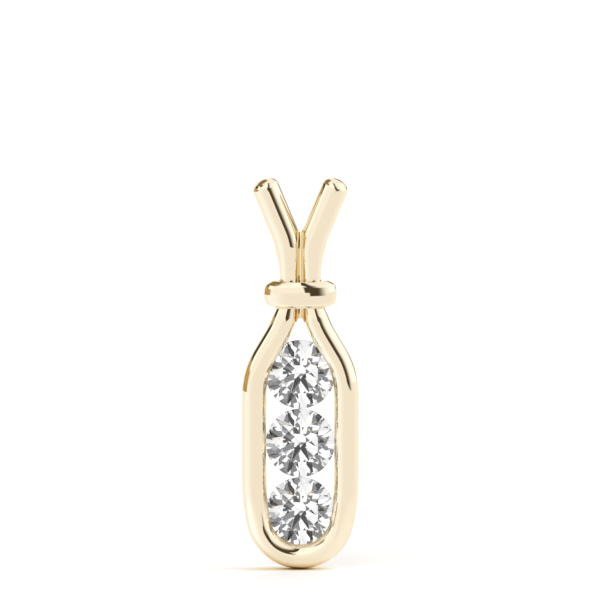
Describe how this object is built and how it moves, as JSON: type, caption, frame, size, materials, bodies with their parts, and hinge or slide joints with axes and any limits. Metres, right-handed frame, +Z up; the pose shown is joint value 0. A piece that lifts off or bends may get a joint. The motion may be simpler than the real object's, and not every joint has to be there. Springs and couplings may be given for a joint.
{
  "type": "three-stone pendant",
  "caption": "Slim drop pendant: a looped double rod with flared ends and a wrapped collar, round stones in a row inside the loop, and a tube bail behind the stem.",
  "frame": {"origin": "centre of the bail's bore, where the pendant hangs on its chain", "axes": "+Z up along the pendant's length, -Y out of the front with the stones' tables, +X to the right seen from the front, along the bail's bore"},
  "size_m": [0.0058, 0.0034, 0.0197],
  "materials": {
    "gold": "high polish yellow gold",
    "stone": "clear faceted brilliant"
  },
  "bodies": {
    "root": {"loop_frame": "gold", "collar": "gold", "bail": "gold", "stone_top": "stone", "stone_middle": "stone", "stone_bottom": "stone"}
  },
  "joints": []
}
